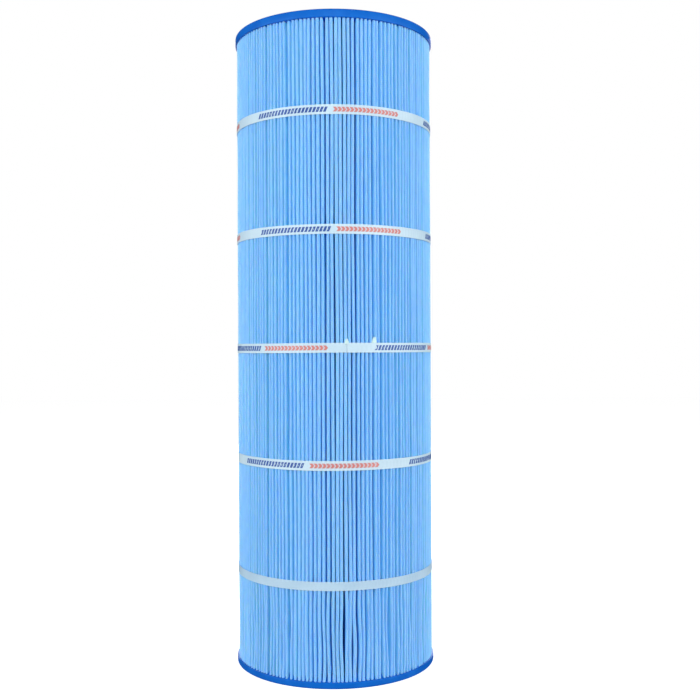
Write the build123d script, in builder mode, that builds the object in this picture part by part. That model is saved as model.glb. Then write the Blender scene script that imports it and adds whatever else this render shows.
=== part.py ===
from build123d import *

import os
from math import asin, atan2, cos, degrees, hypot, radians, sin

# Pleated filter cartridge for a pool or spa filter tank, as the pieces it is assembled from.
#
# Units are millimetres. The cartridge stands on its lower end cap: the origin is the centre of its
# lower face, +Z runs up the axis, and -Y is the front. A folded polyester sheet is wrapped round a
# core of snapped-together lattice sections, its two free edges are bonded at the back, five glued
# bands hold its folds at an even pitch, and both ends are potted in cast urethane caps.

# Overall size
length = 716.0
cap_diameter = 227.0
bore_diameter = 101.6
media_diameter = 223.8

# Folded sheet. A fold's radius is that of the sheet's middle line.
pleat_count = 150
sheet_thickness = 0.5
outer_fold_radius = 1.25
inner_fold_radius = 0.45
seam_angle = 90.0
seam_bond_depth = 12.0

# End caps
cap_floor = 3.0
bottom_cap_height = 7.0
top_cap_height = 9.0
cap_foot_fillet = 1.5
cap_lip_fillet = 0.4
bore_chamfer = 1.0
face_relief_depth = 0.8
sealing_land_width = 12.0
foot_land_width = 9.0
rib_radius = 0.8
rib_pitch = 7.0
rib_count = 3

# Core sections
core_inner_radius = 52.0
core_wall = 5.0
core_clearance = 0.3
core_section_count = 6
core_bar_count = 16
core_bar_width = 4.5
core_bar_depth = 3.2
core_hoop_count = 4
core_hoop_height = 4.0
core_hoop_depth = 2.8
core_collar_height = 8.0
spigot_height = 5.0
spigot_wall = 2.4
joint_clearance = 0.05
latch_count = 4
latch_width = 8.0
latch_height = 2.4
latch_depth = 1.2
latch_clearance = 0.2

# Bands, from the lowest to the highest. A lap angle is where the strip's buried end lies, and the
# strip runs clockwise from there, seen from above.
band_heights = [107.8, 234.9, 359.1, 484.3, 610.3]
band_widths = [9.5, 10.5, 10.5, 10.5, 10.5]
band_lap_angles = [62.0, 118.0, -67.6, 100.0, 47.0]
band_thickness = 0.4
band_clearance = 0.05
band_lap = 30.6
band_ramp = 6.0
adhesive_thickness = 0.12
adhesive_setback = 1.0

# Worked out from the sizes above
cap_radius = cap_diameter / 2
bore_radius = bore_diameter / 2
media_radius = media_diameter / 2
relief_inner_radius = bore_radius + sealing_land_width
relief_outer_radius = cap_radius - foot_land_width
core_outer_radius = core_inner_radius + core_wall
half_sheet = sheet_thickness / 2
half_pitch = 180.0 / pleat_count
media_length = length - 2 * cap_floor
section_length = media_length / core_section_count
outer_fold_centre = Vector(media_radius - outer_fold_radius - half_sheet, 0)
inner_ray = Vector(cos(radians(half_pitch)), sin(radians(half_pitch)))
inner_fold_centre = inner_ray * (core_outer_radius + core_clearance + inner_fold_radius + half_sheet)
seam_gap = 2 * (inner_fold_radius - half_sheet)
band_radius = media_radius + band_clearance
finished = []


def finish(part, name):
    """Labels a finished piece and keeps it for export."""
    part.label = name
    finished.append(part)


def ring(outer_radius, inner_radius):
    """Adds a flat ring to the sketch that is being made."""
    Circle(outer_radius)
    Circle(inner_radius, mode=Mode.SUBTRACT)


def leg_normal():
    """The unit normal of a fold's straight leg, which is the inner tangent of its two folds' circles."""
    step = inner_fold_centre - outer_fold_centre
    lean = asin((outer_fold_radius + inner_fold_radius) / hypot(step.X, step.Y))
    heading = atan2(step.Y, step.X) + lean
    return Vector(sin(heading), -cos(heading))


def surface_edges(side):
    """Adds one surface of half a pleat, from the outer fold's tip to the inner fold's valley.

    Side +1 is the surface that faces outward and meets the dirty water, and -1 the one facing the core.
    Returns the two ends of the chain.
    """
    normal = leg_normal()
    leg_angle = degrees(atan2(normal.Y, normal.X))
    tip_radius = outer_fold_radius + side * half_sheet
    valley_radius = inner_fold_radius - side * half_sheet
    leg_start = outer_fold_centre + normal * tip_radius
    leg_end = inner_fold_centre - normal * valley_radius
    CenterArc(outer_fold_centre, tip_radius, 0, leg_angle)
    Line(leg_start, leg_end)
    CenterArc(inner_fold_centre, valley_radius, leg_angle + 180, half_pitch - leg_angle)
    return outer_fold_centre + Vector(tip_radius, 0), inner_fold_centre - inner_ray * valley_radius


def arc_point(radius, angle):
    """The point at a radius and an angle in degrees round the axis."""
    return Vector(radius * cos(radians(angle)), radius * sin(radians(angle)))


# --- Folded sheet -------------------------------------------------------------------------------

# Half a pleat's section, mirrored, with its outer fold on the X axis
with BuildSketch() as pleat_section:
    with BuildLine():
        dirty_tip, dirty_valley = surface_edges(+1)
        clean_tip, clean_valley = surface_edges(-1)
        Line(dirty_tip, clean_tip)
        Line(dirty_valley, clean_valley)
    make_face()
    mirror(about=Plane.XZ)

# The bond between the sheet's two free edges: it fills the slot between them and the narrow end of
# the space between their legs. It is drawn along the X axis, pointing outward.
with BuildSketch() as bond_section:
    with BuildLine():
        bond_root = inner_fold_centre.length
        leg_spread = atan2(leg_normal().X, leg_normal().Y) + radians(half_pitch)
        bond_inner = (core_outer_radius + core_clearance, seam_gap / 2)
        bond_corner = (bond_root, seam_gap / 2)
        bond_outer = (bond_root + seam_bond_depth, seam_gap / 2 + seam_bond_depth * sin(leg_spread))
        Polyline((bond_inner[0], 0), bond_inner, bond_corner, bond_outer, (bond_outer[0], 0), close=True)
    make_face()
    mirror(about=Plane.XZ)

# Every pleat round the axis, opened at the inner fold that lies at the seam
with BuildSketch() as sheet_section:
    with PolarLocations(0, pleat_count, start_angle=seam_angle + half_pitch):
        add(pleat_section.sketch)
    with Locations(Rotation(0, 0, seam_angle)):
        add(bond_section.sketch, mode=Mode.SUBTRACT)

with BuildPart() as pleated_media:
    add(sheet_section.sketch.moved(Location((0, 0, cap_floor))))
    extrude(amount=media_length)
finish(pleated_media.part, "pleated_media")

with BuildPart() as media_seam_bond:
    with BuildSketch(Plane.XY.offset(cap_floor)):
        with Locations(Rotation(0, 0, seam_angle)):
            add(bond_section.sketch)
    extrude(amount=media_length)
finish(media_seam_bond.part, "media_seam_bond")

# --- End caps -----------------------------------------------------------------------------------


def end_cap(height):
    """A cast cap that lies on its outer face: a disc, a collar in the core's mouth and the potting."""
    with BuildPart() as cap:
        with BuildSketch(Plane.XY):
            ring(cap_radius, bore_radius)
        extrude(amount=cap_floor)
        with BuildSketch(Plane.XY.offset(cap_floor)):
            ring(cap_radius, core_outer_radius)
            ring(core_inner_radius, bore_radius)
        extrude(amount=height - cap_floor)

        circles = cap.edges().filter_by(GeomType.CIRCLE)
        rim = circles.filter_by(lambda edge: abs(edge.radius - cap_radius) < 0.01).sort_by(Axis.Z)
        mouth = circles.filter_by(lambda edge: abs(edge.radius - bore_radius) < 0.01).sort_by(Axis.Z)
        fillet(rim[0], radius=cap_foot_fillet)
        fillet(rim[-1], radius=cap_lip_fillet)
        chamfer(mouth[0], length=bore_chamfer)

        # Shallow relief between the sealing land round the bore and the foot land at the rim
        with BuildSketch(Plane.XY):
            ring(relief_outer_radius, relief_inner_radius)
        extrude(amount=face_relief_depth, mode=Mode.SUBTRACT)

        # Round sealing ribs that stand in the relief, level with the lands
        with BuildSketch(Plane.XZ):
            with Locations(((relief_outer_radius + relief_inner_radius) / 2, face_relief_depth)):
                with GridLocations(rib_pitch, 0, rib_count, 1):
                    Circle(rib_radius)
        revolve(axis=Axis.Z)

        # The potting was cast round the sheet's end, seam bond and all
        add(pleated_media.part, mode=Mode.SUBTRACT)
        add(media_seam_bond.part, mode=Mode.SUBTRACT)
    return cap.part


finish(end_cap(bottom_cap_height), "bottom_end_cap")

with BuildPart() as top_end_cap:
    mirror(end_cap(top_cap_height), about=Plane.XY.offset(length / 2))
finish(top_end_cap.part, "top_end_cap")

# --- Core ---------------------------------------------------------------------------------------


def core_section(index):
    """One lattice section: two collars joined by upright bars outside and hoops inside.

    A section's spigot snaps into the socket of the one above: four latch blocks on the spigot click
    into four windows through the socket's wall.
    """
    base = cap_floor + index * section_length
    has_socket = index > 0
    has_spigot = index < core_section_count - 1
    spigot_radius = core_inner_radius + spigot_wall
    latch_base = (spigot_height - latch_height) / 2
    latch_start_angle = 180 / core_bar_count
    with BuildPart() as section:
        # Collars at both ends
        with BuildSketch(Plane.XY.offset(base), Plane.XY.offset(base + section_length - core_collar_height)):
            ring(core_outer_radius, core_inner_radius)
        extrude(amount=core_collar_height)

        # Upright bars in the outer part of the wall
        with BuildSketch(Plane.XY.offset(base)):
            with PolarLocations(core_outer_radius, core_bar_count):
                Rectangle(3 * core_bar_depth, core_bar_width)
            Circle(core_outer_radius, mode=Mode.INTERSECT)
            Circle(core_outer_radius - core_bar_depth, mode=Mode.SUBTRACT)
        extrude(amount=section_length)

        # Hoops in the inner part of the wall, evenly spaced between the collars
        hoop_pitch = (section_length - core_collar_height) / (core_hoop_count + 1)
        first_hoop = base + (core_collar_height - core_hoop_height) / 2 + hoop_pitch
        hoop_planes = [Plane.XY.offset(first_hoop + hoop_pitch * turn) for turn in range(core_hoop_count)]
        with BuildSketch(*hoop_planes):
            ring(core_inner_radius + core_hoop_depth, core_inner_radius)
        extrude(amount=core_hoop_height)

        if has_spigot:
            top = base + section_length
            with BuildSketch(Plane.XY.offset(top)):
                ring(spigot_radius, core_inner_radius)
            extrude(amount=spigot_height)
            with BuildSketch(Plane.XY.offset(top + latch_base)):
                with PolarLocations(spigot_radius, latch_count, start_angle=latch_start_angle):
                    Rectangle(2 * latch_depth, latch_width)
            extrude(amount=latch_height)

        if has_socket:
            with BuildSketch(Plane.XY.offset(base)):
                ring(spigot_radius + joint_clearance, core_inner_radius)
            extrude(amount=spigot_height + joint_clearance, mode=Mode.SUBTRACT)
            with BuildSketch(Plane.XY.offset(base + latch_base - latch_clearance)):
                with PolarLocations(core_outer_radius, latch_count, start_angle=latch_start_angle):
                    Rectangle(2 * core_wall, latch_width + 2 * latch_clearance)
            extrude(amount=latch_height + 2 * latch_clearance, mode=Mode.SUBTRACT)
    return section.part


for index in range(core_section_count):
    finish(core_section(index), f"core_section_{index + 1}")

# --- Bands --------------------------------------------------------------------------------------


def strip_surface(radius, start, lap, ramp, lift):
    """Adds one face of a band: once round, up a short ramp, and on over the strip's own start."""
    CenterArc((0, 0), radius, start, ramp - 360)
    Line(arc_point(radius, start + ramp), arc_point(radius + lift, start))
    CenterArc((0, 0), radius + lift, start, -lap)
    return arc_point(radius, start), arc_point(radius + lift, start - lap)


def band(height, width, start):
    """A strip round the pleats whose end laps over its start, and the film of glue in the lap."""
    lap = degrees(band_lap / band_radius)
    ramp = degrees(band_ramp / band_radius)
    setback = degrees(adhesive_setback / band_radius)
    lift = band_thickness + adhesive_thickness
    foot = Plane.XY.offset(height - width / 2)
    with BuildPart() as strip:
        with BuildSketch(foot):
            with BuildLine():
                inner_start, inner_end = strip_surface(band_radius, start, lap, ramp, lift)
                outer_start, outer_end = strip_surface(band_radius + band_thickness, start, lap, ramp, lift)
                Line(inner_start, outer_start)
                Line(inner_end, outer_end)
            make_face()
        extrude(amount=width)
    with BuildPart() as glue:
        with BuildSketch(foot):
            with BuildLine():
                film_radius = band_radius + band_thickness
                CenterArc((0, 0), film_radius, start - setback, setback - lap)
                CenterArc((0, 0), film_radius + adhesive_thickness, start - setback, setback - lap)
                for angle in (start - setback, start - lap):
                    Line(arc_point(film_radius, angle), arc_point(band_radius + lift, angle))
            make_face()
        extrude(amount=width)
    return strip.part, glue.part


for index, (height, width, start) in enumerate(zip(band_heights, band_widths, band_lap_angles)):
    strip, glue = band(height, width, start)
    finish(strip, f"band_{index + 1}")
    finish(glue, f"band_adhesive_{index + 1}")

# --- Export -------------------------------------------------------------------------------------

os.makedirs("parts", exist_ok=True)
for piece in finished:
    export_step(piece, f"parts/{piece.label}.step")
    print(piece.label, round(piece.volume), "mm3", "one solid" if len(piece.solids()) == 1 else "SPLIT")
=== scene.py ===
import math

import bpy
import numpy as np
from mathutils import Matrix, Vector


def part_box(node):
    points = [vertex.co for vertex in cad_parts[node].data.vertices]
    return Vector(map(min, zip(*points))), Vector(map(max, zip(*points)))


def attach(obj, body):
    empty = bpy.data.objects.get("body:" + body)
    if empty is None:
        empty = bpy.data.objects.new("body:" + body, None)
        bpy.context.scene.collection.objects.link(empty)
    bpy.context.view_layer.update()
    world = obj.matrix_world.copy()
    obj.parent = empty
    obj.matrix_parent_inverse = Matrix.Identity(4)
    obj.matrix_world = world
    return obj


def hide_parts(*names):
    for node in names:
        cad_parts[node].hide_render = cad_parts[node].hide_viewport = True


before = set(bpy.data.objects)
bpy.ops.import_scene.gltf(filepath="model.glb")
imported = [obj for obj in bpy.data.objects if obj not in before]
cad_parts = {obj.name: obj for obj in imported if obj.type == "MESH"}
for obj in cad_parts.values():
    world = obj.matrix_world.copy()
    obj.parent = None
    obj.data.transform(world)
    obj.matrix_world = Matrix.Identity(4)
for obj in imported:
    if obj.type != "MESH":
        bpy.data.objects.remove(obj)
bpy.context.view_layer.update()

# Looks of the pleated filter cartridge. Lengths are metres, apart from the tables that say otherwise.
# Named angles are in degrees, and one round the axis is counted anticlockwise from +X, so the front
# is -90.

MM = 0.001
FRONT = -90.0

# From the CAD
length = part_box("top_end_cap")[1].z
cap_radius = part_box("bottom_end_cap")[1].x
media_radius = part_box("pleated_media")[1].x
media_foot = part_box("pleated_media")[0].z
media_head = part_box("pleated_media")[1].z
potting_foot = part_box("bottom_end_cap")[1].z
potting_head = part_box("top_end_cap")[0].z
BAND_NUMBERS = range(1, 6)  # from the lowest up
bands = [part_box(f"band_{number}") for number in BAND_NUMBERS]

# Folded sheet
PLEATS = 150
PITCH = 360.0 / PLEATS
SHEET = 0.5 * MM
INNER_FOLD_RADIUS = 58.0 * MM
VALLEY_RADIUS = 0.45 * MM
TIP_HALF_WIDTH = 1.66 * MM
SEAM_ANGLE = 90.0
LEAST_TIP_SPACING = 3.5 * MM  # how near two outer folds may come

# Bands
BAND_THICKNESS = 0.4 * MM
BAND_LIFT = 0.52 * MM
BAND_CLEARANCE = 0.05 * MM
LAP = 30.6 * MM
RAMP = 6.0 * MM
BURIED_ENDS = [62.0, 118.0, -67.6, 100.0, 47.0]  # the angle where each strip begins, under its own lap

chance = np.random.default_rng(7)


# --- Materials ----------------------------------------------------------------------------------


class Nodes:
    """A short way to write a material's node tree."""

    def __init__(self, name):
        self.material = bpy.data.materials.new(name)
        self.material.use_nodes = True
        self.tree = self.material.node_tree
        self.shader = self.tree.nodes["Principled BSDF"]

    def add(self, kind, links=(), **values):
        """Adds a node, links its inputs by name or number, and sets its properties."""
        node = self.tree.nodes.new(kind)
        for key, value in values.items():
            setattr(node, key, value)
        for key, value in dict(links).items():
            self.fill(node.inputs[key], value)
        return node

    def fill(self, socket, value):
        """Links an input to another node's output, or gives it a fixed value."""
        if isinstance(value, bpy.types.NodeSocket):
            self.tree.links.new(value, socket)
        else:
            socket.default_value = value

    def object_point(self):
        return self.add("ShaderNodeTexCoord").outputs["Object"]

    def uv_point(self, name):
        return self.add("ShaderNodeUVMap", uv_map=name).outputs["UV"]

    def stretched(self, point, scale, turn=(0, 0, 0)):
        """The point scaled, and turned by angles in degrees, for a pattern that isn't the same both ways."""
        angles = [math.radians(angle) for angle in turn]
        return self.add("ShaderNodeMapping", {"Vector": point, "Rotation": angles, "Scale": scale}).outputs[0]

    def noise(self, point, scale, detail=2.0, roughness=0.5):
        links = {"Vector": point, "Scale": scale, "Detail": detail, "Roughness": roughness}
        return self.add("ShaderNodeTexNoise", links).outputs["Fac"]

    def ramp(self, value, low, high):
        """0 below low, 1 above high and a smooth step between."""
        links = {"Value": value, "From Min": low, "From Max": high}
        return self.add("ShaderNodeMapRange", links, interpolation_type="SMOOTHSTEP").outputs[0]

    def spread(self, value, low, high):
        """A value from 0 to 1, carried to the range from low to high."""
        return self.add("ShaderNodeMapRange", {"Value": value, "To Min": low, "To Max": high}).outputs[0]

    def maths(self, operation, first, second):
        return self.add("ShaderNodeMath", {0: first, 1: second}, operation=operation).outputs[0]

    def mix(self, share, first, second):
        """A colour from first to second."""
        return self.add("ShaderNodeMix", {0: share, 6: first, 7: second}, data_type="RGBA").outputs[2]

    def clouded(self, cloud, dark, light):
        """Two close colours, given as screen numbers, in a soft cloud."""
        return self.mix(self.ramp(cloud, 0.3, 0.7), srgb(*dark), srgb(*light))

    def feed(self, socket, value):
        """Fills one of the shader's own inputs."""
        self.fill(self.shader.inputs[socket], value)

    def bump(self, height, distance):
        self.feed("Normal", self.add("ShaderNodeBump", {"Height": height, "Distance": distance}).outputs[0])


def srgb(red, green, blue):
    """A colour given as 0 to 255 screen numbers, as the linear numbers that a shader takes."""
    values = np.array([red, green, blue]) / 255
    linear = np.where(values <= 0.04045, values / 12.92, ((values + 0.055) / 1.055) ** 2.4)
    return (*linear.tolist(), 1.0)


def make_media_material():
    """Spunbonded polyester, dyed pale blue: a cloudy web of fine fibres laid every way. Its flanks are
    painted lighter than its outer folds, as painted light, and far down between the folds it has painted
    shade."""
    look = Nodes("media_polyester")
    sheet = look.uv_point("Sheet")
    cloud = look.noise(sheet, 60.0, 3.0)
    web = 0.0
    for turn, scale in ((12, 2600), (-38, 3000), (64, 2800), (-75, 3300)):
        laid = look.stretched(sheet, (1.0, 0.08, 1.0), (0, 0, turn))
        web = look.maths("MAXIMUM", look.noise(laid, scale, 2.0, 0.6), web)
    strands = look.ramp(web, 0.52, 0.74)
    from_fold = look.add("ShaderNodeSeparateXYZ", {"Vector": look.uv_point("Fold")}).outputs[0]
    # The outer folds keep the cloth's own colour. The flank colour is a lighter copy of it, painted light
    # that lifts the gaps, and the deep colour is painted shade far down between the folds.
    crest = look.clouded(cloud, (128, 181, 253), (134, 187, 254))
    flank = look.clouded(cloud, (126, 206, 253), (132, 210, 254))
    painted_deep_shade = look.clouded(cloud, (92, 182, 252), (98, 187, 254))
    painted_flank_light_and_deep_shade = look.mix(look.ramp(from_fold, 9.0 * MM, 27.0 * MM), flank, painted_deep_shade)
    ground = look.mix(look.ramp(from_fold, 1.0 * MM, 3.0 * MM), crest, painted_flank_light_and_deep_shade)
    look.feed("Base Color", look.mix(look.maths("MULTIPLY", strands, 0.22), ground, srgb(158, 208, 255)))
    look.feed("Subsurface Weight", 1.0)
    look.feed("Subsurface Radius", (0.4, 0.7, 1.0))
    look.feed("Subsurface Scale", 1.5 * MM)
    look.feed("Roughness", 0.9)
    look.feed("Specular IOR Level", 0.0)
    look.bump(strands, 0.03 * MM)
    return look.material


def make_cap_material():
    """Cast polyurethane, coloured right through: a faint cloud, a slightly wavy skin and a few pinholes."""
    look = Nodes("cap_urethane")
    point = look.object_point()
    cloud = look.noise(point, 45.0, 4.0, 0.6)
    look.feed("Base Color", look.clouded(cloud, (4, 89, 184), (12, 99, 194)))
    look.feed("Roughness", look.spread(cloud, 0.36, 0.5))
    look.feed("Specular IOR Level", 0.3)
    look.feed("Specular Tint", (0.3, 0.6, 1.0, 1.0))
    skin = look.noise(point, 320.0, 2.0)
    pores = look.add("ShaderNodeTexVoronoi", {"Vector": point, "Scale": 110.0}).outputs["Distance"]
    pits = look.ramp(pores, 0.05, 0.12)
    look.bump(look.maths("ADD", look.maths("MULTIPLY", skin, 0.5), pits), 0.1 * MM)
    return look.material


def make_band_material(name, dark, light):
    """A flat pale strip with a fine grain along it and a slight cloud."""
    look = Nodes(name)
    point = look.object_point()
    grain = look.noise(look.stretched(point, (1.0, 1.0, 14.0)), 180.0, 3.0)
    cloud = look.noise(point, 35.0, 2.0)
    look.feed("Base Color", look.clouded(cloud, dark, light))
    look.feed("Roughness", look.spread(grain, 0.45, 0.62))
    look.bump(grain, 0.06 * MM)
    return look.material


def make_plain_plastic(name, dark, light, roughness, grain_scale, depth):
    """Moulded plastic: two close colours in a soft cloud, and a fine skin."""
    look = Nodes(name)
    point = look.object_point()
    look.feed("Base Color", look.clouded(look.noise(point, 40.0, 3.0), dark, light))
    look.feed("Roughness", roughness)
    look.bump(look.noise(point, grain_scale, 2.0), depth)
    return look.material


media_material = make_media_material()
cap_material = make_cap_material()
printed_strip_material = make_band_material("band_strip", (179, 205, 221), (187, 212, 226))
plain_strip_material = make_band_material("band_strip_plain", (163, 193, 215), (171, 200, 220))
core_material = make_plain_plastic("core_plastic", (226, 230, 232), (238, 240, 241), 0.42, 900.0, 0.03 * MM)
seam_material = make_plain_plastic("seam_adhesive", (176, 212, 236), (196, 224, 240), 0.3, 300.0, 0.2 * MM)
glue_material = make_plain_plastic("band_adhesive", (180, 213, 214), (192, 222, 222), 0.4, 500.0, 0.1 * MM)
navy_material = make_plain_plastic("print_navy", (20, 69, 146), (30, 79, 158), 0.5, 1500.0, 0.01 * MM)
orange_material = make_plain_plastic("print_orange", (192, 112, 109), (200, 122, 117), 0.5, 1500.0, 0.01 * MM)


# --- Mesh helpers -------------------------------------------------------------------------------


def make_piece(name, points, faces, materials, smooth=True, face_materials=None):
    """A mesh object from points and faces, riding on the cartridge."""
    mesh = bpy.data.meshes.new(name)
    mesh.from_pydata(np.asarray(points).tolist(), [], [tuple(map(int, face)) for face in faces])
    for material in materials:
        mesh.materials.append(material)
    if face_materials is not None:
        mesh.polygons.foreach_set("material_index", face_materials)
    mesh.polygons.foreach_set("use_smooth", [smooth] * len(mesh.polygons))
    mesh.validate()
    piece = bpy.data.objects.new(name, mesh)
    bpy.context.scene.collection.objects.link(piece)
    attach(piece, "root")
    return piece


def grid_faces(rows, columns, wrap_rows=False, wrap_columns=False):
    """Quads between the points of a grid that is stored row by row."""
    row = np.arange(rows if wrap_rows else rows - 1)
    column = np.arange(columns if wrap_columns else columns - 1)
    row, column = np.meshgrid(row, column, indexing="ij")
    next_row, next_column = (row + 1) % rows, (column + 1) % columns
    corners = [row * columns + column, row * columns + next_column]
    corners += [next_row * columns + next_column, next_row * columns + column]
    return np.stack([corner.ravel() for corner in corners], axis=1)


def around(radius, angle, height):
    """Points at a radius, an angle in degrees and a height, which may all be arrays."""
    turn = np.radians(angle)
    return np.stack(np.broadcast_arrays(radius * np.cos(turn), radius * np.sin(turn), height), axis=-1)


def ripple(place, lowest, highest, waves=6):
    """A smooth random curve of about unit size over place, made of waves between two frequencies."""
    total = np.zeros_like(np.asarray(place, float))
    for frequency in np.geomspace(lowest, highest, waves):
        total += np.sin(2 * math.pi * (frequency * place + chance.random()))
    return total * math.sqrt(2 / waves)


# --- Folded sheet -------------------------------------------------------------------------------

TIP_STEPS = 6
TIP_TURN = 94.0  # how far round an outer fold goes to each side
TIP_DEPTH = 1.2  # how deep its curve is, as a share of its half width
WIDTH_LIMITS = (-0.3 * MM, 0.15 * MM)
DEPTH_LIMITS = (1.3 * MM, 3.0 * MM)
SPREADING_ROUNDS = 60
# The shoulder is a point on the flank, close to its outer fold
SHOULDER_DEPTH = 6.0 * MM
SHOULDER_SWIRL = 0.38
SWIRL = 1.5 * MM  # every pleat curves the same way on its way in
# Where a flank's points lie on its way in, and how much of the swirl each one takes
SWIRL_POINTS = [(0.25, 0.8), (0.5, 1.0), (0.78, 0.7)]
ROWS_IN_ZONE = 4
ROWS_IN_LOWEST_ZONE = 6
NEIGHBOURS_EACH_SIDE = 2
SHARED_WITH_NEIGHBOURS = 0.6
# How much of a fold's stray is the same at every stop, and how much is its own at each one
SAME_AT_ALL_STOPS = 0.85
OWN_AT_EACH_STOP = 0.5
# How far the folds stray from even ones: the spread at the stops, and how far they bow in between
PLACE_STRAY = (0.6 * MM, 0.1 * MM)
SLACK_STRAY = (0.0, 0.25 * MM)
WIDTH_STRAY = (0.11 * MM, 0.05 * MM)
DEPTH_STRAY = (0.2, 0.08)
BOW_STRAY = (0.12 * MM, 0.06 * MM)
SWIRL_STRAY = (0.12 * MM, 0.05 * MM)


def media_rows():
    """Heights of the sheet's rows of points: its ends, the potting, each band's edges and rows between."""
    heights = [media_foot, potting_foot]
    counts = [ROWS_IN_LOWEST_ZONE] + [ROWS_IN_ZONE] * len(bands)
    stops = [(low.z, high.z) for low, high in bands] + [(potting_head, media_head)]
    for count, (low, high) in zip(counts, stops):
        heights += np.linspace(heights[-1], low, count + 2)[1:].tolist() + [high]
    return np.array(heights)


def neighbours_alike(spread):
    """One random number for each pleat, with a given spread and partly shared with the pleats beside it."""
    own = chance.normal(size=PLEATS)
    shared = np.zeros(PLEATS)
    for step in range(-NEIGHBOURS_EACH_SIDE, NEIGHBOURS_EACH_SIDE + 1):
        shared += np.roll(own, step)
    shared /= shared.std()
    unshared = math.sqrt(1 - SHARED_WITH_NEIGHBOURS * SHARED_WITH_NEIGHBOURS)
    return spread * (SHARED_WITH_NEIGHBOURS * shared + unshared * chance.normal(size=PLEATS))


def wander(at_stops, between, lowest=1.0):
    """A random number for every pleat at every row, smooth up the cartridge: at_stops is its spread where
    the potting and the bands hold the folds, between is how far it bows from there, and lowest
    multiplies the bow in the lowest zone. Most of it is the same at every stop, so that a fold keeps its
    place from one end to the other."""
    stops = [potting_foot] + [(low.z + high.z) / 2 for low, high in bands] + [potting_head]
    same = neighbours_alike(at_stops)
    held = [SAME_AT_ALL_STOPS * same + OWN_AT_EACH_STOP * neighbours_alike(at_stops) for _ in stops]
    course = np.zeros((len(media_heights), PLEATS))
    for zone, (low, high) in enumerate(zip(stops[:-1], stops[1:])):
        share = np.clip((media_heights - low) / (high - low), 0, 1)[:, None]
        bow = between * (lowest if zone == 0 else 1.0)
        line = held[zone] * (1 - share) + held[zone + 1] * share
        line = line + neighbours_alike(bow) * np.sin(math.pi * share)
        line = line + neighbours_alike(0.4 * bow) * np.sin(2 * math.pi * share)
        inside = (media_heights >= low) & (media_heights <= high)
        course[inside] = line[inside]
    course[media_heights < stops[0]] = held[0]
    course[media_heights > stops[-1]] = held[-1]
    return course


# Places where folds stand pushed apart: angle right of the front, height, how far up and down it
# reaches, and how far each side is pushed. Lengths are in millimetres.
PARTED = [
    (-9.4, 40.0, 24.0, 1.0), (5.2, 52.0, 26.0, 1.3), (9.6, 46.0, 22.0, 1.4), (-26.0, 60.0, 20.0, 0.8),
    (31.0, 50.0, 20.0, 0.9), (-58.0, 40.0, 22.0, 0.9), (118.0, 44.0, 24.0, 1.2), (-150.0, 55.0, 24.0, 1.1),
]
PLEATS_PARTED = 2.2  # how many pleats away the push has faded to a third


def pushed_apart():
    """How far each fold is moved sideways by the places where folds stand apart."""
    push = np.zeros((len(media_heights), PLEATS))
    for angle, height, reach, far in PARTED:
        pleats_away = (even_tips - (FRONT + angle) + 180) % 360 / PITCH - 180 / PITCH
        side = np.sign(pleats_away) * np.exp(-np.abs(pleats_away) / PLEATS_PARTED)
        tall = np.exp(-(((media_heights - height * MM) / (reach * MM)) ** 2))
        push += far * MM * tall[:, None] * side
    return push


def spread_tips(angles):
    """Pushes folds apart that would run into each other, row by row. Angles are in degrees."""
    least = math.degrees(LEAST_TIP_SPACING / media_radius)
    for _ in range(SPREADING_ROUNDS):
        gap = np.roll(angles, -1, axis=1) - angles
        gap[:, -1] += 360
        short = np.maximum(least - gap, 0) / 2
        angles = angles - short + np.roll(short, 1, axis=1)
    return angles


media_heights = media_rows()
even_tips = SEAM_ANGLE + PITCH * (np.arange(PLEATS) + 0.5)
tip_drift = wander(*PLACE_STRAY, lowest=6.0) + pushed_apart()
tip_angles = spread_tips(even_tips + np.degrees(tip_drift / media_radius))


def tips_at(height):
    """The outer folds' angles at a height, as the sheet has them."""
    row = np.interp(height, media_heights, np.arange(len(media_heights)))
    low = int(min(row, len(media_heights) - 2))
    return tip_angles[low] + (tip_angles[low + 1] - tip_angles[low]) * (row - low)


def off_ray(angles, out, across):
    """Points in plan at a distance out from the axis along rays at some angles, and across them."""
    cos, sin = np.cos(np.radians(angles)), np.sin(np.radians(angles))
    return np.stack([out * cos - across * sin, out * sin + across * cos], axis=-1)


def valley_point(side, surface):
    """Where a surface meets the inner fold before (-1) or after (+1) each pleat."""
    reach = VALLEY_RADIUS - surface * SHEET / 2
    angles = np.broadcast_to(even_tips + side * PITCH / 2, tip_angles.shape)
    return off_ray(angles, INNER_FOLD_RADIUS - reach, -side * reach)


def edge_faces(rows, dirty_columns, clean_columns):
    """Faces that join the sheet's two surfaces at its ends and at its two free edges."""
    first_clean = rows * dirty_columns
    # For each dirty point of a pleat, the clean point that stands across the sheet from it
    opposite = [0, 1, 2, 3, 4, 4, 4, 5, 5, 5, 6, 6, 6, 7, 8, 9, 10]
    clean_points = clean_columns // PLEATS
    partner = [pleat * clean_points + point for pleat in range(PLEATS) for point in opposite]
    faces = []
    for row, turn in ((0, -1), (rows - 1, 1)):
        near, far = row * dirty_columns, first_clean + row * clean_columns
        for column in range(dirty_columns - 1):
            loop = [near + column, near + column + 1, far + partner[column + 1], far + partner[column]]
            faces.append(tuple(dict.fromkeys(loop[::turn])))
    for column, clean_column, turn in ((0, 0, 1), (dirty_columns - 1, clean_columns - 1, -1)):
        for row in range(rows - 1):
            near, far = row * dirty_columns + column, first_clean + row * clean_columns + clean_column
            loop = [near, near + dirty_columns, far + clean_columns, far]
            faces.append(tuple(loop[::turn]))
    return faces


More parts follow.
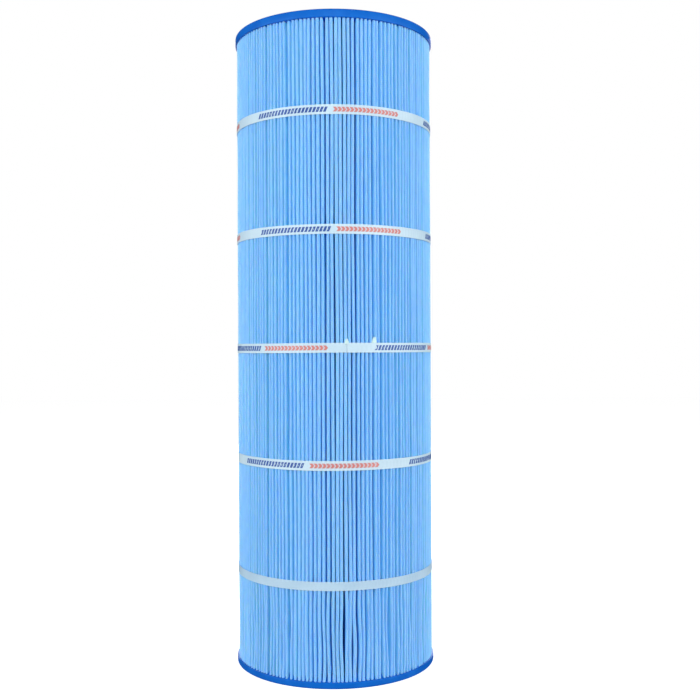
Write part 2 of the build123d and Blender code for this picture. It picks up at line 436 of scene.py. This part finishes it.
def make_media():
    """The folded sheet: both its surfaces, closed at its two ends and at its two free edges."""
    rows = len(media_heights)
    slack = np.abs(wander(*SLACK_STRAY, lowest=3.0))
    width = TIP_HALF_WIDTH + np.clip(wander(*WIDTH_STRAY), *WIDTH_LIMITS)
    depth = np.clip(width * (TIP_DEPTH + wander(*DEPTH_STRAY)), *DEPTH_LIMITS)
    bow = wander(*BOW_STRAY)
    swirl = SWIRL + wander(*SWIRL_STRAY)
    centre = media_radius - 0.03 * MM - slack - depth

    def flank(fold, valley, shoulder):
        """Points from an outer fold on the way to an inner one, moved sideways."""
        places = [(share, swirl * part) for share, part in SWIRL_POINTS]
        if shoulder:
            share = SHOULDER_DEPTH / (media_radius - INNER_FOLD_RADIUS)
            places.insert(0, (share, bow + swirl * SHOULDER_SWIRL))
        return [
            fold + (valley - fold) * share + off_ray(tip_angles, 0.0, sideways) for share, sideways in places
        ]

    def surface_points(surface, steps, shoulder):
        """The dirty (+1) or clean (-1) surface of every pleat, from the inner fold before it to the next."""
        inset = SHEET if surface < 0 else 0
        tip = []
        for turn in np.radians(np.linspace(-TIP_TURN, TIP_TURN, steps + 1)):
            out = centre + (depth - inset) * math.cos(turn)
            tip.append(off_ray(tip_angles, out, (width - inset) * math.sin(turn)))
        before, after = valley_point(-1, surface), valley_point(1, surface)
        into, back = flank(tip[0], before, shoulder), flank(tip[-1], after, shoulder)
        plan = np.stack([before, *into[::-1], *tip, *back, after], axis=2).reshape(rows, -1, 2)
        heights = np.broadcast_to(media_heights[:, None, None], (*plan.shape[:2], 1))
        return np.concatenate([plan, heights], axis=-1)

    dirty, clean = surface_points(1, TIP_STEPS, True), surface_points(-1, 2, False)
    dirty_columns, clean_columns = dirty.shape[1], clean.shape[1]
    faces = [tuple(face) for face in grid_faces(rows, dirty_columns)]
    faces += [tuple(face[::-1] + rows * dirty_columns) for face in grid_faces(rows, clean_columns)]
    faces += edge_faces(rows, dirty_columns, clean_columns)
    points = np.concatenate([dirty.reshape(-1, 3), clean.reshape(-1, 3)])
    piece = make_piece("pleated_media_sheet", points, faces, [media_material])
    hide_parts("pleated_media")
    return piece, dirty, clean


media, dirty_surface, clean_surface = make_media()


def map_sheet(piece, dirty, clean):
    """Gives the sheet three maps. Sheet is the unfolded cloth in metres, for the weave. Fold is the
    distance from the outer fold along the cloth, for its painted light and shade. OFBake has most room
    for the outer folds and little for the hidden surface."""
    mesh = piece.data
    rows, columns = dirty.shape[:2]
    heights = dirty[:, 0, 2]
    share = (heights - heights[0]) / (heights[-1] - heights[0])

    def running_total(steps):
        return np.concatenate([[0], np.cumsum(steps)])

    def along_cloth(surface):
        return running_total(np.linalg.norm(np.diff(surface[rows // 2], axis=0), axis=1))

    def from_fold(places):
        pleats = places.reshape(PLEATS, -1)
        middle = pleats.shape[1] // 2
        return np.abs(pleats - pleats[:, middle, None]).ravel()

    def on_grid(columns_at, rows_at):
        return np.stack(np.broadcast_arrays(columns_at[None, :], rows_at[:, None]), -1).reshape(-1, 2)

    along, clean_along = along_cloth(dirty), along_cloth(clean)
    clean_along *= along[-1] / clean_along[-1]
    cloth = np.concatenate([on_grid(along, heights), on_grid(clean_along, heights)])
    fold = np.concatenate([on_grid(from_fold(along), heights), on_grid(from_fold(clean_along), heights)])
    # Room for each step of a pleat's flank, from its inner fold out to its tip
    flank_room = [0.1, 0.1, 0.2, 0.5, 1.2]
    room = np.tile([*flank_room, *[0.7] * TIP_STEPS, *flank_room[::-1], 0.1], PLEATS)[: columns - 1]
    outside = on_grid(running_total(room) / room.sum(), share * 0.95)
    baked = np.concatenate([outside, on_grid(clean_along / along[-1], 0.97 + share * 0.03)])
    vertex = np.zeros(len(mesh.loops), int)
    mesh.loops.foreach_get("vertex_index", vertex)
    for name, places in (("Sheet", cloth), ("Fold", fold), ("OFBake", baked)):
        layer = mesh.uv_layers.new(name=name)
        layer.data.foreach_set("uv", places[vertex].astype(np.float32).ravel())
    return float(along[-1])


sheet_length = map_sheet(media, dirty_surface, clean_surface)


# --- End caps -----------------------------------------------------------------------------------

CAP_FLOOR = 3.0 * MM
BORE_RADIUS = 50.8 * MM
CORE_INNER = 52.0 * MM
CORE_OUTER = 57.0 * MM
RIB_RADII = [(83.65 + step) * MM for step in (-7.0, 0.0, 7.0)]
RIB = 0.8 * MM
RELIEF_INNER = 62.8 * MM
RELIEF_OUTER = 104.5 * MM
RELIEF_DEPTH = 0.8 * MM
ROUNDING_STEPS = 4


def rounded(corners):
    """An open outline with its corners rounded. Each corner is (radius, height, size of its rounding)."""
    outline = []
    for index, (radius, height, size) in enumerate(corners):
        here = Vector((radius, height))
        if size == 0:
            outline.append(here)
            continue
        back = Vector(corners[index - 1][:2]) - here
        ahead = Vector(corners[(index + 1) % len(corners)][:2]) - here
        half = back.angle(ahead) / 2
        reach = size / math.tan(half)
        centre = here + (back.normalized() + ahead.normalized()).normalized() * (size / math.sin(half))
        first, last = here + back.normalized() * reach - centre, here + ahead.normalized() * reach - centre
        turn = math.atan2(first.x * last.y - first.y * last.x, first.dot(last))
        for step in range(ROUNDING_STEPS + 1):
            angle = turn * step / ROUNDING_STEPS
            spun = Vector((
                first.x * math.cos(angle) - first.y * math.sin(angle),
                first.x * math.sin(angle) + first.y * math.cos(angle),
            ))
            outline.append(centre + spun)
    return outline


def cap_outline(height):
    """The cap's section as (radius, height), from the floor inside the core, over the collar and round
    the outside to the lip."""
    corners = [
        (CORE_INNER, CAP_FLOOR, 0),
        (CORE_INNER, height, 0.2 * MM),
        (BORE_RADIUS, height, 0.3 * MM),
        (BORE_RADIUS, 1.0 * MM, 0.4 * MM),
        (BORE_RADIUS + 1.0 * MM, 0, 0.4 * MM),
        (RELIEF_INNER, 0, 0.3 * MM),
        (RELIEF_INNER + 0.2 * MM, RELIEF_DEPTH, 0.25 * MM),
    ]
    for middle in RIB_RADII:
        corners += [(middle - RIB, RELIEF_DEPTH, 0.1 * MM), (middle - RIB, 0, 0.7 * MM)]
        corners += [(middle + RIB, 0, 0.7 * MM), (middle + RIB, RELIEF_DEPTH, 0.1 * MM)]
    corners += [
        (RELIEF_OUTER - 0.2 * MM, RELIEF_DEPTH, 0.25 * MM),
        (RELIEF_OUTER, 0, 0.3 * MM),
        (cap_radius, 0, 1.5 * MM),
        (cap_radius, height, 0.45 * MM),
    ]
    return rounded(corners)


# The potting's surface inside the lip: each ring's radius in millimetres, and its share of the rise
POTTING_RINGS = [
    (112.6, 0.0), (111.8, 0.0), (111.0, 0.07), (110.2, 0.22), (109.2, 0.48), (108.0, 0.76),
    (106.5, 0.96), (104.5, 1.0), (99.0, 0.9), (88.0, 0.75), (72.0, 0.7), (57.3, 0.7),
]


def cap_columns(tips):
    """Angles of the cap's columns of points: each pleat's tip, and the space after it at three places."""
    after = np.roll(tips, -1)
    after[-1] += 360
    flank = math.degrees(TIP_HALF_WIDTH * 0.86 / media_radius)
    return np.stack([tips, tips + flank, (tips + after) / 2, after - flank], axis=1).ravel()


def make_cap(name, node, height, rise, turned):
    """An end cap, with the urethane climbing between the folds. turned makes it the upper one."""
    tips = tips_at(length - height if turned else height)
    columns = cap_columns(tips)
    rings = [around(corner.x, columns, corner.y) for corner in cap_outline(height)]
    unevenness = 1.0 + 0.5 * ripple(columns / 360, 2, 19)
    # Nothing climbs at a tip, and half as much beside it as in the middle of the gap
    climb = np.zeros((PLEATS, 4))
    climb[:, 1:] = rise * np.clip(1 + 0.4 * chance.normal(size=(PLEATS, 1)), 0.2, 1.8)
    climb[:, 1:] *= np.clip([0.5, 1.0, 0.5] + 0.3 * chance.normal(size=(PLEATS, 3)), 0.1, 1.4)
    climb = climb.ravel()
    for radius, share in POTTING_RINGS:
        sag = 0.12 * MM * unevenness * (share > 0)
        rings.append(around(radius * MM, columns, height - sag + climb * share))
    rings.append(around(CORE_OUTER, columns, height - 1.0 * MM))
    rings.append(around(CORE_OUTER, columns, CAP_FLOOR))
    points = np.concatenate(rings)
    if turned:
        points[:, 2] = length - points[:, 2]
    faces = grid_faces(len(rings), len(columns), wrap_rows=True, wrap_columns=True)
    if turned:
        faces = faces[:, ::-1]
    piece = make_piece(name, points, faces, [cap_material])
    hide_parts(node)


make_cap("bottom_end_cap_cast", "bottom_end_cap", potting_foot, 5.4 * MM, False)
make_cap("top_end_cap_cast", "top_end_cap", length - potting_head, 1.4 * MM, True)


# --- Bands --------------------------------------------------------------------------------------

BAND_STEP = 1.1 * MM
TIP_DIP = 0.13 * MM
SWAY = 0.12 * MM
# Each printed band: the angle right of the front where a row of navy marks begins, and how far round
# the print repeats
PRINTS = {2: (-60.0, 106.0), 3: (-88.3, 124.65), 4: (-44.8, 110.4), 5: (-46.4, 109.4)}


class Strip:
    """A band's course round the folds: where it lies at each place along its length."""

    def __init__(self, number):
        low, high = bands[number - 1]
        self.middle = (low.z + high.z) / 2
        self.width = high.z - low.z
        self.radius = media_radius + BAND_CLEARANCE
        self.buried_end = BURIED_ENDS[number - 1]
        self.once_round = 2 * math.pi * self.radius
        self.total = self.once_round + LAP
        tips = np.sort(np.mod(tips_at(self.middle), 360))
        self.tips = np.concatenate([[tips[-1] - 360], tips, [tips[0] + 360]])
        self.wave = chance.random(2)

    def angle(self, place):
        """The angle at a distance along the strip, which runs clockwise from its buried end."""
        return self.buried_end - np.degrees(place / self.radius)

    def lift(self, place):
        """How far the strip is raised by its own buried end."""
        share = np.clip((place - self.once_round + RAMP) / RAMP, 0, 1)
        return BAND_LIFT * share * share * (3 - 2 * share)

    def dip(self, place):
        """How far the strip sinks between two folds."""
        angle = np.mod(self.angle(place), 360)
        after = np.searchsorted(self.tips, angle)
        before = self.tips[after - 1]
        share = (angle - before) / (self.tips[after] - before)
        return TIP_DIP * (1 - np.cos(2 * math.pi * share)) / 2

    def sway(self, place):
        """How far the strip strays up or down."""
        turn = 2 * math.pi * place / self.once_round
        return SWAY * (np.sin(2 * turn + 6 * self.wave[0]) + 0.6 * np.sin(5 * turn + 6 * self.wave[1]))

    def point(self, place, up, out):
        """A point at a distance along, above the strip's middle and out from its inner face."""
        radius = self.radius + self.lift(place) - self.dip(place) + out
        return around(radius, self.angle(place), self.middle + self.sway(place) + up)


def band_section(width):
    """Points round a band's section as (up, out): flat inside, with a rounded selvedge."""
    half, edge, thick = width / 2, 0.14 * MM, BAND_THICKNESS
    upper = [(half - edge, 0), (half, edge), (half, thick - edge), (half - edge, thick)]
    upper += [(half - 0.5 * MM, thick), (half - 0.9 * MM, thick - 0.04 * MM)]
    return upper + [(-up, out) for up, out in upper[::-1]]


def strip_piece(name, node, strip, material, first, last, section):
    """A closed strip with a given section between two places along a band."""
    places = np.linspace(first, last, max(3, int((last - first) / BAND_STEP)))
    rings = np.stack([strip.point(places, up, out) for up, out in section], axis=1)
    rows, columns = rings.shape[:2]
    faces = [tuple(face) for face in grid_faces(rows, columns, wrap_columns=True)]
    faces.append(tuple(range(columns)))
    faces.append(tuple(reversed(range((rows - 1) * columns, rows * columns))))
    piece = make_piece(name, rings.reshape(-1, 3), faces, [material])
    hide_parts(node)


def make_band(number):
    """One band, and the film of hot-melt that holds its lap."""
    strip = Strip(number)
    material = printed_strip_material if number in PRINTS else plain_strip_material
    strip_piece(
        f"band_{number}_strip", f"band_{number}", strip, material,
        0, strip.total, band_section(strip.width),
    )
    half, film = strip.width / 2 - 1.0 * MM, BAND_THICKNESS - BAND_LIFT
    film_section = [(-half, film), (half, film), (half, 0.0), (-half, 0.0)]
    first, last = strip.once_round + 1.0 * MM, strip.total - 1.0 * MM
    strip_piece(
        f"band_adhesive_{number}_film", f"band_adhesive_{number}", strip, glue_material,
        first, last, film_section,
    )
    return strip


LUMP_TUCK = 2.0 * MM  # how far a lump reaches down from the band's upper edge


def glue_lump(name, strip, place, wide, high):
    """A lump of hot-melt that was squeezed out over a band's upper edge and set between two folds."""
    rows, columns = 9, 12
    points = []
    for row in range(rows):
        rounding = math.pi / 2 * row / (rows - 1)
        share = math.sin(rounding)
        up = strip.width / 2 - LUMP_TUCK + (high + LUMP_TUCK) * share
        slim = max(0.04, math.cos(rounding) ** 0.6 * (1 - 0.3 * share))
        lean = 0.35 * MM * math.sin(3 * share)
        for column in range(columns):
            turn = 2 * math.pi * column / columns
            uneven = 1 + 0.16 * math.sin(2 * turn + 4 * share) + 0.08 * math.sin(5 * turn + 9 * share)
            along = place + lean + wide / 2 * slim * uneven * math.cos(turn)
            out = -0.75 * MM + 1.05 * MM * math.sqrt(slim) * uneven * math.sin(turn)
            points.append(strip.point(along, up, out))
    faces = [tuple(face) for face in grid_faces(rows, columns, wrap_columns=True)]
    faces.append(tuple(reversed(range(columns))))
    faces.append(tuple(range((rows - 1) * columns, rows * columns)))
    make_piece(name, points, faces, [glue_material])


strips = [make_band(number) for number in BAND_NUMBERS]


# --- Squeezed-out glue and print ----------------------------------------------------------------

# Each lump: its band's number, and in millimetres its distance back from the strip's outer end, its
# width and its height
LUMPS = [
    (3, 0.0, 4.6, 4.6), (3, 30.6, 6.2, 6.4), (1, 1.0, 3.6, 2.0), (2, 29.0, 4.2, 2.8), (4, 0.5, 3.8, 2.4),
    (5, 30.0, 4.0, 2.0),
]
for count, (number, back, wide, high) in enumerate(LUMPS, 1):
    lap_strip = strips[number - 1]
    place = lap_strip.total - back * MM
    glue_lump(f"band_glue_lump_{count}", lap_strip, place, wide * MM, high * MM)

NAVY_LENGTH = 85.0 * MM
ORANGE_START = 90.5 * MM
ORANGE_LENGTH = 74.8 * MM
# Each mark follows a spine of (along, up) points
BAR = [(-1.1 * MM, -2.7 * MM), (1.1 * MM, 2.7 * MM)]
BAR_PITCH = 4.0 * MM
BAR_WIDTH = 2.8 * MM
ARROWHEAD = [(-1.1 * MM, 2.5 * MM), (0.9 * MM, 0.0), (-1.1 * MM, -2.5 * MM)]
ARROWHEAD_PITCH = 4.4 * MM
ARROWHEAD_WIDTH = 3.3 * MM
INK = 0.03 * MM
INKS = [navy_material, orange_material]
NAVY, ORANGE = range(len(INKS))


class Ink:
    """Plain marks printed on a band: leaning bars and arrowheads, with no lettering."""

    def __init__(self, strip):
        self.strip = strip
        self.points = []
        self.faces = []
        self.kinds = []

    def mark(self, place, spine, wide, kind):
        """A mark as wide along the band as wide says, which follows a spine. Marks that would lie under
        the lap or run past the strip's end are left out."""
        if not LAP + wide < place < self.strip.total - 2 * wide:
            return
        start, columns = len(self.points), 4
        for out in (BAND_THICKNESS + INK, BAND_THICKNESS - 2 * INK):
            for along, up in spine:
                for share in np.linspace(-0.5, 0.5, columns):
                    self.points.append(self.strip.point(place - along - share * wide, up, out))
        rows = len(spine)
        behind = rows * columns
        front = grid_faces(rows, columns)
        back = front[:, ::-1] + behind
        rim = [row * columns for row in range(rows)]
        rim += [(rows - 1) * columns + column for column in range(1, columns)]
        rim += [row * columns + columns - 1 for row in range(rows - 2, -1, -1)]
        rim += list(range(columns - 2, 0, -1))
        sides = [(here, ahead, ahead + behind, here + behind) for here, ahead in zip(rim, rim[1:] + rim[:1])]
        for face in [*front.tolist(), *back.tolist(), *sides]:
            self.faces.append(tuple(corner + start for corner in face))
            self.kinds.append(kind)

    def row(self, begin, reach, pitch, spine, wide, kind):
        """Marks side by side, from a place on the strip and on to the right."""
        for step in range(int(reach / pitch)):
            self.mark(begin - (step + 0.5) * pitch, spine, wide, kind)


def print_band(number, first, repeat):
    """A band's print: a row of navy bars and one of orange arrowheads, repeated all the way round."""
    strip = strips[number - 1]
    ink = Ink(strip)
    for turn in range(-4, 4):  # more than enough to go all the way round
        angle = FRONT + first + repeat * turn
        begin = math.radians(strip.buried_end - angle) * strip.radius
        ink.row(begin, NAVY_LENGTH, BAR_PITCH, BAR, BAR_WIDTH, NAVY)
        ink.row(begin - ORANGE_START, ORANGE_LENGTH, ARROWHEAD_PITCH, ARROWHEAD, ARROWHEAD_WIDTH, ORANGE)
    make_piece(f"band_{number}_print", ink.points, ink.faces, INKS, False, ink.kinds)


for number, (first, repeat) in PRINTS.items():
    print_band(number, first, repeat)


# --- Core and seam ------------------------------------------------------------------------------

for name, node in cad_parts.items():
    if name.startswith("core_section") or name == "media_seam_bond":
        node.data.materials.clear()
        node.data.materials.append(seam_material if name == "media_seam_bond" else core_material)


# --- Floor, light and camera --------------------------------------------------------------------

CAMERA_DISTANCE = 1.129
CAMERA_HEIGHT = 0.3568
LENS = 49.71
SENSOR = 36.0
PAN = -0.914
ROLL = -0.24
LAMP_AIM = Vector((0, 0, 0.36))
FLOOR_REACH = 6.0
FLOOR_HEIGHT = -0.2 * MM


def make_floor():
    """A white floor, just below the cap that stands on it. It glows a little for the camera, and throws
    no light back on the object."""
    sides = ((-1, -1), (1, -1), (1, 1), (-1, 1))
    corners = [(x * FLOOR_REACH, y * FLOOR_REACH, FLOOR_HEIGHT) for x, y in sides]
    mesh = bpy.data.meshes.new("floor")
    mesh.from_pydata(corners, [], [(0, 1, 2, 3)])
    floor = bpy.data.objects.new("floor", mesh)
    bpy.context.scene.collection.objects.link(floor)
    look = Nodes("floor")
    look.feed("Base Color", srgb(250, 250, 250))
    look.feed("Roughness", 0.9)
    look.feed("Specular IOR Level", 0.0)
    look.feed("Emission Color", (1, 1, 1, 1))
    look.feed("Emission Strength", 0.7)
    mesh.materials.append(look.material)
    floor.visible_diffuse = False
    floor.visible_glossy = False


def make_light(name, place, size, power):
    """A soft square lamp that points at the object's middle and isn't seen itself."""
    lamp = bpy.data.lights.new(name, "AREA")
    lamp.size = size
    lamp.energy = power
    lamp_object = bpy.data.objects.new(name, lamp)
    bpy.context.scene.collection.objects.link(lamp_object)
    lamp_object.location = place
    lamp_object.rotation_euler = (LAMP_AIM - Vector(place)).to_track_quat("-Z", "Y").to_euler()
    lamp_object.visible_camera = False


def make_world():
    """A white studio: brighter to the camera than to the object, so that the background stays white. It
    is hidden from glossy rays, because its reflection greyed the ends of the rims."""
    world = bpy.data.worlds.new("studio")
    world.use_nodes = True
    tree = world.node_tree
    background = tree.nodes["Background"]
    path = tree.nodes.new("ShaderNodeLightPath")
    strength = tree.nodes.new("ShaderNodeMapRange")
    strength.inputs["To Min"].default_value = 0.3
    strength.inputs["To Max"].default_value = 1.0
    tree.links.new(path.outputs["Is Camera Ray"], strength.inputs["Value"])
    tree.links.new(strength.outputs[0], background.inputs["Strength"])
    background.inputs["Color"].default_value = (1, 1, 1, 1)
    bpy.context.scene.world = world
    world.cycles_visibility.glossy = False


def make_camera():
    """A camera in front of the cartridge, near the height of its middle. It looks straight ahead, but for
    a small turn and roll."""
    data = bpy.data.cameras.new("camera")
    data.lens = LENS
    data.sensor_width = SENSOR
    camera = bpy.data.objects.new("camera", data)
    bpy.context.scene.collection.objects.link(camera)
    turn = Matrix.Rotation(math.radians(PAN), 4, "Z") @ Matrix.Rotation(math.radians(90), 4, "X")
    turn = turn @ Matrix.Rotation(math.radians(ROLL), 4, "Z")
    camera.matrix_world = Matrix.Translation((0, -CAMERA_DISTANCE, CAMERA_HEIGHT)) @ turn
    bpy.context.scene.camera = camera


make_floor()
make_light("key", (0.0, -2.2, 1.2), 0.9, 16)
for side in (-1, 1):
    make_light("front side", (1.9 * side, -1.5, 0.55), 1.0, 31)
    make_light("side", (2.3 * side, -0.4, 0.5), 1.0, 13)
make_light("back", (0.2, 2.3, 0.9), 1.6, 44)
make_world()
make_camera()
bpy.context.scene.view_settings.view_transform = "Standard"
bpy.context.scene.cycles.diffuse_bounces = 12  # light reaches down between the folds from wall to wall
